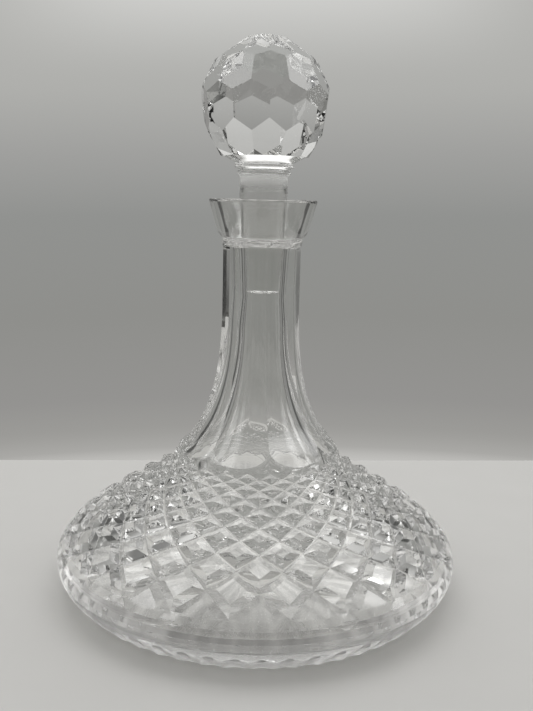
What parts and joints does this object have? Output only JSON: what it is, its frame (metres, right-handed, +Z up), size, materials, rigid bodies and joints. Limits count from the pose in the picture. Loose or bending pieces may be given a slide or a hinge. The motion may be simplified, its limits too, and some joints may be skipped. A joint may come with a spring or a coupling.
{
  "type": "ships decanter",
  "caption": "Ship's decanter in clear cut lead crystal: wide low body with diamond cutting, panelled neck, flared lip and a faceted ball stopper on a ground plug.",
  "frame": {"origin": "centre of the flat underside", "axes": "+Z up along the axis of the neck, a ridge between two neck panels faces -Y, +X to the right seen from -Y"},
  "size_m": [0.19, 0.19, 0.2541],
  "materials": {
    "lead_crystal": "clear cut and polished",
    "stopper_crystal": "clear cut and polished, plug ground"
  },
  "bodies": {
    "vessel": {"vessel": "lead_crystal"},
    "stopper": {"stopper": "stopper_crystal"}
  },
  "joints": [
    {"name": "stopper_lift", "type": "slide", "parent": "vessel", "child": "stopper", "axis": [0, 0, 1], "range_m": [0, 0.06]}
  ]
}
